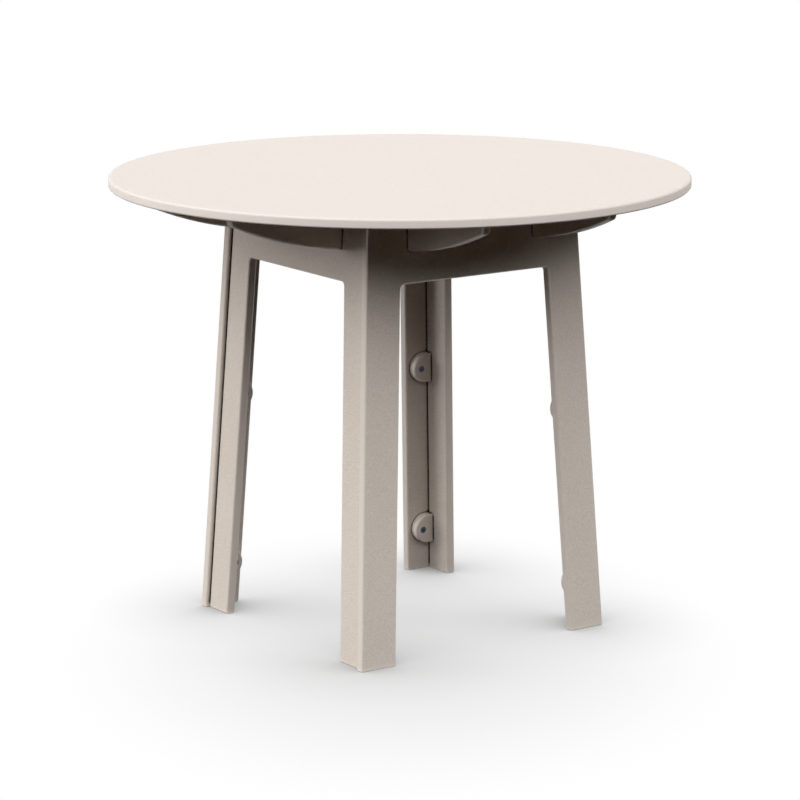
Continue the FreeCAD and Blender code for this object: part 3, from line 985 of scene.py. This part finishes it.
class GARDEN_TABLE_OT_beams(bpy.types.Operator):
    """Finish the four crossed beams under the top"""
    bl_idname = "garden_table.beams"
    bl_label = "Beams"

    def execute(self, context):
        coat = material("pebbled_frame", frame_finish, context.scene.garden_table.sheet)
        for side in SIDES:
            sheet_piece(f"{side}_beam", coat, "frame_sheet")
        return {"FINISHED"}


class GARDEN_TABLE_OT_blocks(bpy.types.Operator):
    """Finish the half-round blocks in the corners"""
    bl_idname = "garden_table.blocks"
    bl_label = "Corner blocks"

    def execute(self, context):
        coat = material("pebbled_frame", frame_finish, context.scene.garden_table.sheet)
        for block in BLOCKS:
            sheet_piece(block, coat, "frame_sheet")
        return {"FINISHED"}


class GARDEN_TABLE_OT_screws(bpy.types.Operator):
    """Make the countersunk and button-head screws"""
    bl_idname = "garden_table.screws"
    bl_label = "Screws"

    def execute(self, context):
        hardware = context.scene.garden_table.hardware
        coat = material("turned_steel", steel_finish, hardware)
        rng = random.Random(hardware.turn_seed)
        shared = {
            "Shank diameter": hardware.shank, "Thread pitch": hardware.pitch,
            "Thread depth": hardware.thread_depth, "Socket width": hardware.socket_width,
            "Socket depth": hardware.socket_depth,
        }
        flat = screw_shape("flat_head_screw", coat, flat_head)
        screw_set("block_screws", flat, {**shared, "Head diameter": hardware.flat_head}, rng)
        button = screw_shape("button_head_screw", coat, button_head)
        sizes = {
            **shared, "Head diameter": hardware.button_head, "Head height": hardware.button_height,
            "Edge height": hardware.button_edge, "Flat diameter": hardware.button_flat,
        }
        for node in ("rail_screws", "top_screws"):
            screw_set(node, button, sizes, rng)
        return {"FINISHED"}


class GARDEN_TABLE_OT_inserts(bpy.types.Operator):
    """Make the knurled inserts that the screws go into"""
    bl_idname = "garden_table.inserts"
    bl_label = "Threaded inserts"

    def execute(self, context):
        hardware = context.scene.garden_table.hardware
        shape = insert_shape(material("machined_brass", brass_finish, hardware))
        sizes = {
            "Bore diameter": hardware.shank + INSERT_PLAY, "Outer diameter": hardware.insert,
            "Knurl depth": hardware.knurl_depth, "Knurl ridges": hardware.knurl_ridges,
        }
        for group in ("block", "rail", "top"):
            node = f"{group}_inserts"
            found = list(insert_places(node, f"{group}_screws"))
            places = [(mouth, direction) for mouth, direction, length in found]
            mesh = shape.grown(points_mesh(places), {**sizes, "Length": found[0][2]})
            hand_over(smoothed(joined(f"finished_{node}", [mesh], shape.coat)), "insert_brass", node)
        return {"FINISHED"}


class GARDEN_TABLE_OT_stage(bpy.types.Operator):
    """Set up the floor, the light and the camera"""
    bl_idname = "garden_table.stage"
    bl_label = "Stage"

    def execute(self, context):
        scene = context.scene
        stage = scene.garden_table.stage
        mesh = bpy.data.meshes.new("studio_floor")
        corners = [(x * FLOOR_REACH, y * FLOOR_REACH, 0) for x, y in ((-1, -1), (1, -1), (1, 1), (-1, 1))]
        mesh.from_pydata(corners, [], [(0, 1, 2, 3)])
        mesh.materials.append(floor_finish(stage))
        new_object("studio_floor", mesh)
        scene.world = studio_world(stage)
        camera = bpy.data.cameras.new("camera")
        camera.lens = stage.lens
        camera.sensor_width = SENSOR_WIDTH
        made = new_object("camera", camera)
        level = Vector((math.sin(stage.azimuth), -math.cos(stage.azimuth), 0))
        made.location = level * stage.distance + Vector((0, 0, stage.height))
        made.rotation_euler = (math.pi / 2 - stage.pitch, 0, stage.azimuth + stage.heading)
        scene.camera = made
        scene.view_settings.view_transform = "Standard"
        return {"FINISHED"}


class TableSettings(bpy.types.PropertyGroup):
    """All the settings of the table."""
    sheet: bpy.props.PointerProperty(name="Sheet", description="Finish of the sheet", type=SheetSettings)
    top: bpy.props.PointerProperty(name="Top", description="Sizes of the top", type=TopSettings)
    hardware: bpy.props.PointerProperty(
        name="Hardware", description="Screws and inserts", type=HardwareSettings)
    stage: bpy.props.PointerProperty(
        name="Stage", description="Camera, floor and light", type=StageSettings)


OPERATORS = (
    GARDEN_TABLE_OT_top, GARDEN_TABLE_OT_panels, GARDEN_TABLE_OT_beams, GARDEN_TABLE_OT_blocks,
    GARDEN_TABLE_OT_screws, GARDEN_TABLE_OT_inserts, GARDEN_TABLE_OT_stage,
)


class GARDEN_TABLE_PT_sidebar(bpy.types.Panel):
    """Lists the table's pieces and its stage"""
    bl_idname = "GARDEN_TABLE_PT_sidebar"
    bl_label = "Round garden table"
    bl_space_type = "VIEW_3D"
    bl_region_type = "UI"
    bl_category = "Table"

    def draw(self, context):
        table = context.scene.garden_table
        for operator in OPERATORS:
            self.layout.operator(operator.bl_idname)
        for group in (table.sheet, table.top, table.hardware, table.stage):
            box = self.layout.box()
            for name in group.__annotations__:
                box.prop(group, name)


CLASSES = (
    SheetSettings, TopSettings, HardwareSettings, StageSettings, TableSettings, *OPERATORS,
    GARDEN_TABLE_PT_sidebar,
)


def register():
    for made in CLASSES:
        bpy.utils.register_class(made)
    bpy.types.Scene.garden_table = bpy.props.PointerProperty(type=TableSettings)


def unregister():
    del bpy.types.Scene.garden_table
    for made in reversed(CLASSES):
        bpy.utils.unregister_class(made)


def main():
    register()
    for operator in OPERATORS:
        group, name = operator.bl_idname.split(".")
        getattr(getattr(bpy.ops, group), name)()


if __name__ == "__main__":
    main()
